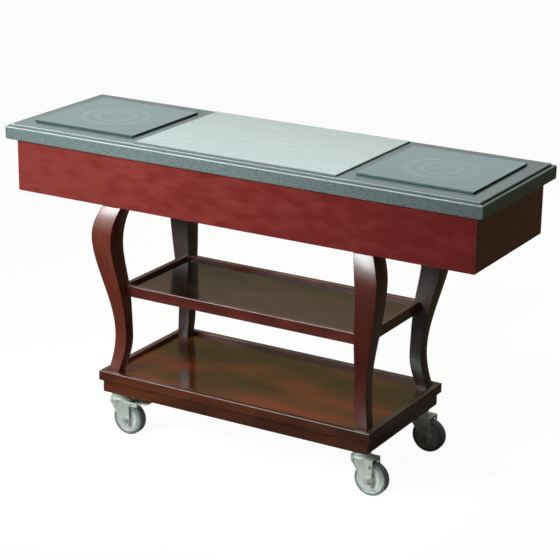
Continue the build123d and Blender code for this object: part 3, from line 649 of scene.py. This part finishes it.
def ribbed_pedal():
    """A brake pedal with grip ribs pressed up across its pad."""
    ribs, rib, border, rise = (22 * MM, 29 * MM, 36 * MM), 4.6 * MM, 1.2 * MM, 0.9 * MM
    tilt, flush = math.radians(12), 0.99      # of the pad, and how alike the normals on it are
    joint = next(row for row in frame["joints"] if row["name"] == f"{BRAKED[0]}_brake")
    pivot = Vector(joint["pos_m"])
    along = Vector((math.cos(tilt), 0, math.sin(tilt)))
    out = Vector((-math.sin(tilt), 0, math.cos(tilt)))
    piece = softened(f"brake_pedal_{BRAKED[0]}", PEDAL_EDGE)
    edit(piece)
    for at in ribs:
        for cut in (at - rib / 2, at + rib / 2):
            bpy.ops.mesh.select_all(action="SELECT")
            bpy.ops.mesh.bisect(plane_co=pivot + along * cut, plane_no=along)
    bpy.ops.mesh.select_mode(type="FACE")
    mesh = bmesh.from_edit_mesh(piece.data)
    for face in mesh.faces:
        reach = (face.calc_center_median() - pivot).dot(along)
        face.select_set(face.normal.dot(out) > flush and any(abs(reach - at) < rib / 2 for at in ribs))
    bmesh.update_edit_mesh(piece.data)
    bpy.ops.mesh.inset(thickness=border, use_individual=False)
    bpy.ops.mesh.extrude_region_move(TRANSFORM_OT_translate={"value": out * rise})
    return close(piece, piece.name, zinc_steel)


stand_at(tyre(), "tyre", CORNERS)
stand_at(wheel_hub(), "wheel_hub", CORNERS)
axle_washers()
stand_at(softened(f"caster_fork_{BRAKED[0]}", FORK_EDGE), "caster_fork", BRAKED)
stand_at(softened(f"caster_fork_{PLAIN[0]}", FORK_EDGE), "caster_fork", PLAIN)
stand_at(softened(f"axle_bolt_{CORNERS[0]}", BOLT_EDGE), "axle_bolt", CORNERS)
stand_at(ribbed_pedal(), "brake_pedal", BRAKED)
stand_for(softened("caster_stems", STEM_EDGE), "caster_stems")


# Supply inlet

def supply_inlet():
    """Inlet with plated contact pins and four round-headed screws in its flange."""
    pins, pin_circle, pin, pin_recess, pin_round = 3, 11 * MM, 2.6 * MM, 4 * MM, 0.8 * MM
    pin_root, pin_proud = 26 * MM, 0.1 * MM
    screws, screw_circle, head, dome, recess = 4, 31 * MM, 2.8 * MM, 1.3 * MM, 0.5 * MM
    socket, socket_rim = 0.9 * MM, 1.0 * MM
    crown = ((1.9 * MM, 0.8), (2.6 * MM, 0.35))      # radius, and share of the dome's height there
    facets = 32
    stand_for(softened("power_inlet", INLET_EDGE), "power_inlet")
    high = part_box("power_inlet")[1]
    face = Vector((middle("power_inlet").x, high.y, middle("power_inlet").z))
    tip = pin_proud - pin_recess
    pin_line = [(0, -pin_root), (pin, -pin_root), (pin, tip - pin_round), (pin - pin_round, tip), (0, tip)]
    screw_line = [(0, dome - recess), (socket, dome - recess), (socket_rim, dome)]
    screw_line += [(radius, dome * share) for radius, share in crown]
    screw_line += [(head, 0), (head, -recess), (0, -recess)]
    rows = (("inlet_pin", pins, 90, pin_circle, pin_line, pin_brass),
            ("inlet_screw", screws, 45, screw_circle, screw_line, bolt_steel))
    for kind, count, start, circle, profile, finish in rows:
        angles = [math.radians(start + 360 / count * i) for i in range(count)]
        spots = [face + Vector((-math.cos(a), 0, math.sin(a))) * circle for a in angles]
        first = turned(f"{kind}_1", profile, spots[0], "y", finish, facets)
        row = [first]
        for number, spot in enumerate(spots[1:], 2):
            row.append(copied(first, f"{kind}_{number}", spot - spots[0]))
        for piece in row:
            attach(piece, nodes["power_inlet"]["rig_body"])


supply_inlet()


# Hob insides

def wound_coil():
    """A flat work coil of litz wire, its turns drawn as rings side by side."""
    node = f"induction_coil_{HOBS[0]}"
    turns, inner = 18, 20 * MM
    wire_steps, facets = 5, 72
    low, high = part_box(node)
    outer, half = (high.x - low.x) / 2, (high.z - low.z) / 2
    wire = (outer - inner) / turns / 2
    profile = [(inner, -half), (outer, -half)]
    for i in reversed(range(turns)):
        profile += arc((inner + wire * (2 * i + 1), half - wire), wire, 0, 180, wire_steps)
    return turned(f"{node}_finished", profile + profile[:1], middle(node), "z", copper, facets)


stand_at(wound_coil(), "induction_coil", HOBS)


# Stage

FLAT, ALONG_X, ALONG_Y = (0, 0, 0), (math.radians(90), 0, 0), (0, math.radians(90), 0)
FLOOR_SIDE, FLOOR_DROP = 60, 0.2 * MM
FELT_TONES = {"olive": "#4d4937", "gold": "#a08b75", "bronze": "#7c7553", "grey": "#606060",
              "dark": "#2c2c2c"}
# Of each card, which the camera does not see: its middle, its two sizes, how it lies and its felt.
# Flags stand upright and also shade what is near them. Mats lie on the floor and show only in mirrors.
FLAGS = {"flag_right": ((1.6, 1.75, 1.6), (3.2, 5.5), ALONG_Y, "olive"),
         "flag_back_high": ((-1.1, 1.7, 1.21), (2.6, 0.24), ALONG_X, "gold"),
         "flag_wheel": ((0.47, 0.06, 0.045), (0.36, 0.09), ALONG_X, "dark"),
         "flag_back_low": ((-1.1, 1.7, 0.545), (2.6, 1.09), ALONG_X, "bronze")}
MATS = {"mat_behind": ((0.6, 1.6, 0), (2.0, 2.0), FLAT, "olive"),
        "mat_front": ((-1.2, -1.4, 0), (3.2, 1.2), FLAT, "grey"),
        "mat_near": ((0, -0.55, 0), (2.4, 0.5), FLAT, "dark"),
        "mat_left": ((-2.6, -2.5, 0), (1.4, 0.8), FLAT, "grey")}


def card(name, centre, size, turn, finish):
    """A flat stage card."""
    bpy.ops.object.select_all(action="DESELECT")
    bpy.ops.mesh.primitive_plane_add(size=1, location=centre, rotation=turn)
    piece = bpy.context.object
    piece.scale = (*size, 1)
    piece.name = name
    piece.data.materials.append(finish)
    return piece


def pale_floor():
    """White floor: to the camera it is mostly plain white, and the rest of it takes light and shadow."""
    white_share, white_strength = 0.7, 1.36
    made, tree, shader, _ = finish_named("floor_white")
    plug(tree, shader, {"Base Color": "#a8a8a8", "Roughness": 0.9, "Specular IOR Level": 0.0})
    path = add(tree, "LightPath")
    white = add(tree, "Emission", {"Color": "#ffffff", "Strength": white_strength})
    share = add(tree, "Math", {"Value": path.outputs["Is Camera Ray"], "Value_001": white_share},
                operation="MULTIPLY")
    mix = add(tree, "MixShader", {"Fac": share, "Shader": shader, "Shader_001": white})
    tree.links.new(mix.outputs[0], tree.nodes["Material Output"].inputs["Surface"])
    return made


def felt(name, tone):
    """Dull cloth that glows in one tone, on the cards that lacquer and glass mirror."""
    made, tree, shader, _ = finish_named(name)
    plug(tree, shader, {"Base Color": "#202020", "Roughness": 1.0, "Specular IOR Level": 0.0,
                        "Emission Color": tone, "Emission Strength": 1.0})
    return made


card("floor", (0, 0, -FLOOR_DROP), (FLOOR_SIDE, FLOOR_SIDE), FLAT, pale_floor())
felts = {name: felt(f"felt_{name}", tone) for name, tone in FELT_TONES.items()}
for name, (centre, size, turn, tone) in (FLAGS | MATS).items():
    screen = card(name, centre, size, turn, felts[tone])
    screen.visible_camera = False
    screen.visible_diffuse = screen.visible_shadow = name in FLAGS


def soft_box(name, place, target, size, power, spread=180, colour="#ffffff"):
    """A soft lamp that faces a point, with its light held to a cone."""
    lamp = bpy.data.lights.new(name, "AREA")
    lamp.shape = "RECTANGLE"
    lamp.size, lamp.size_y = size
    lamp.energy = power
    lamp.spread = math.radians(spread)
    lamp.color = linear(colour)[:3]
    holder = bpy.data.objects.new(name, lamp)
    holder.location = place
    holder.rotation_euler = (Vector(target) - Vector(place)).to_track_quat("-Z", "Y").to_euler()
    bpy.context.scene.collection.objects.link(holder)
    return holder


key = soft_box("key_softbox", place=(-1.08, -2.15, 1.66), target=(-0.28, 0, 0.82), size=(1.7, 0.5),
               power=14.2, spread=80)
key.visible_glossy = False
sheen = soft_box("sheen_softbox", place=(-1.3, -2.3, 2.4), target=(0, -0.2, 0.7), size=(2.6, 1.5),
                 power=215, colour="#eefcff")
sheen.visible_diffuse = False
CASTER_LAMP_POWER = {"front_left": 0.14, "front_right": 0.25}
CASTER_LAMP_FROM, CASTER_LAMP_AIM = Vector((-0.1, -1.25, 0.3)), Vector((0, 0, -0.11))      # from the wheel
for corner, power in CASTER_LAMP_POWER.items():
    wheel = middle(f"tyre_{corner}")
    caster_lamp = soft_box(f"caster_softbox_{corner}", place=wheel + CASTER_LAMP_FROM,
                           target=wheel + CASTER_LAMP_AIM, size=(0.4, 0.05), power=power, spread=17)
    caster_lamp.visible_glossy = caster_lamp.visible_camera = False
fill = soft_box("back_softbox", place=(0.6, 3.2, 2.2), target=(0, 0.2, 0.6), size=(1.4, 1.0), power=13)
fill.visible_glossy = False

# Room: how strongly it lights, how strongly it is mirrored, and how white the camera sees it
ROOM_LIGHT, ROOM_MIRRORED, ROOM_SEEN = 0.1, 1.27, 1.0
world = bpy.data.worlds.new("studio")
world.use_nodes = True
bpy.context.scene.world = world
room = world.node_tree
path = add(room, "LightPath")
seen = add(room, "Math", {"Value": path.outputs["Is Camera Ray"],
                          "Value_001": path.outputs["Is Transmission Ray"]}, operation="MAXIMUM")
dim = add(room, "Background", {"Color": "#ffffff", "Strength": ROOM_LIGHT})
cool = add(room, "Background", {"Color": "#edfdff", "Strength": ROOM_MIRRORED})
white = add(room, "Background", {"Color": "#ffffff", "Strength": ROOM_SEEN})
mirrored = add(room, "MixShader", {"Fac": path.outputs["Is Glossy Ray"], "Shader": dim, "Shader_001": cool})
mix = add(room, "MixShader", {"Fac": seen, "Shader": mirrored, "Shader_001": white})
room.links.new(mix.outputs[0], room.nodes["World Output"].inputs["Surface"])

# Camera: the angle, distance and lens that fit the photograph's 560 by 560 frame
AZIMUTH, ELEVATION, ROLL = (math.radians(angle) for angle in (30.211, 18.534, 0.816))
TARGET = Vector((0.0312, 0, 0.50783))
DISTANCE = 5.51137
FOCAL_PIXELS, IMAGE_PIXELS, SENSOR = 1899.14, 560, 36.0

level_back = Vector((math.sin(AZIMUTH), -math.cos(AZIMUTH), 0))
back = level_back * math.cos(ELEVATION) + AXES["z"] * math.sin(ELEVATION)
level_right = AXES["z"].cross(back).normalized()
level_up = back.cross(level_right)
right = level_right * math.cos(ROLL) + level_up * math.sin(ROLL)
up = level_up * math.cos(ROLL) - level_right * math.sin(ROLL)
camera = bpy.data.objects.new("camera", bpy.data.cameras.new("camera"))
camera.data.sensor_width = SENSOR
camera.data.lens = FOCAL_PIXELS * SENSOR / IMAGE_PIXELS
camera.matrix_world = Matrix((right, up, back)).transposed().to_4x4()
camera.location = TARGET + back * DISTANCE
bpy.context.scene.collection.objects.link(camera)
bpy.context.scene.camera = camera
bpy.context.scene.view_settings.view_transform = "Standard"
